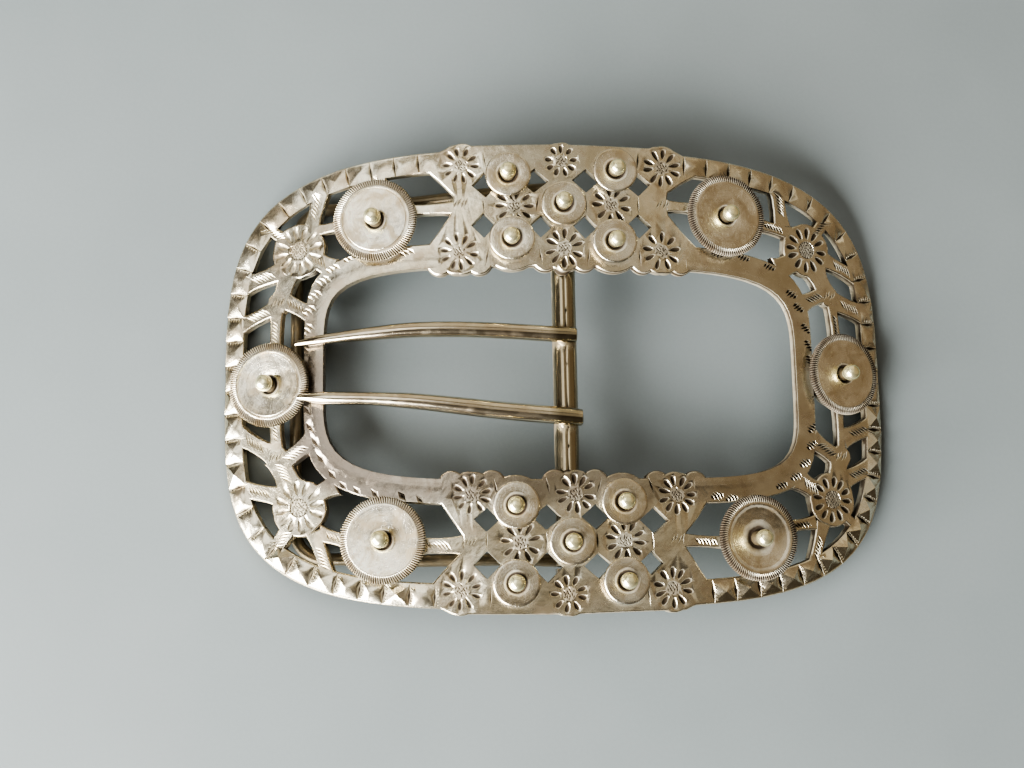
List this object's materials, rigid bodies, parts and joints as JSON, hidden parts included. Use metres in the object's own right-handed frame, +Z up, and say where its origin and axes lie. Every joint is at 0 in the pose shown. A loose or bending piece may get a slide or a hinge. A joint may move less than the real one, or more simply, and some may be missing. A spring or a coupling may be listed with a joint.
{
  "type": "belt buckle",
  "caption": "Large bent silver belt buckle with a pierced, chased frame, riveted knurled discs, a hinged double-pronged tongue and a wire loop behind.",
  "frame": {"origin": "on the surface that the buckle lies on, under the middle of its outline", "axes": "+X along the buckle's length, from the prongs' tips towards the open half of the window; +Y across it; +Z up, out of the chased face"},
  "size_m": [0.088, 0.0612, 0.0133],
  "materials": {
    "plate_silver": "old silver, polished on the high places and brown in the recesses",
    "disc_silver": "old silver, worn bright, with fine turned lines",
    "bead_silver": "bright silver, polished by wear",
    "bar_silver": "yellowish old silver, smooth",
    "wire_silver": "dull yellowish silver wire"
  },
  "bodies": {
    "frame": {"frame": "plate_silver", "axle": "bar_silver", "large_disc_1": "disc_silver", "large_disc_2": "disc_silver", "large_disc_3": "disc_silver", "large_disc_4": "disc_silver", "large_disc_5": "disc_silver", "large_disc_6": "disc_silver", "small_disc_1": "disc_silver", "small_disc_2": "disc_silver", "small_disc_3": "disc_silver", "small_disc_4": "disc_silver", "small_disc_5": "disc_silver", "small_disc_6": "disc_silver", "small_disc_7": "disc_silver", "small_disc_8": "disc_silver", "small_disc_9": "disc_silver", "small_disc_10": "disc_silver", "large_stud_1": "bead_silver", "large_stud_2": "bead_silver", "large_stud_3": "bead_silver", "large_stud_4": "bead_silver", "large_stud_5": "bead_silver", "large_stud_6": "bead_silver", "small_stud_1": "bead_silver", "small_stud_2": "bead_silver", "small_stud_3": "bead_silver", "small_stud_4": "bead_silver", "small_stud_5": "bead_silver", "small_stud_6": "bead_silver", "small_stud_7": "bead_silver", "small_stud_8": "bead_silver", "small_stud_9": "bead_silver", "small_stud_10": "bead_silver"},
    "tongue": {"tongue": "bar_silver"},
    "loop": {"loop": "wire_silver"}
  },
  "joints": [
    {"name": "tongue_hinge", "type": "hinge", "parent": "frame", "child": "tongue", "pos_m": [0, 0, 0.00695], "axis": [0, 1, 0], "range_deg": [0, 176]},
    {"name": "loop_hinge", "type": "hinge", "parent": "frame", "child": "loop", "pos_m": [0, 0, 0.00695], "axis": [0, 1, 0], "range_deg": [-161, 1.5]}
  ]
}
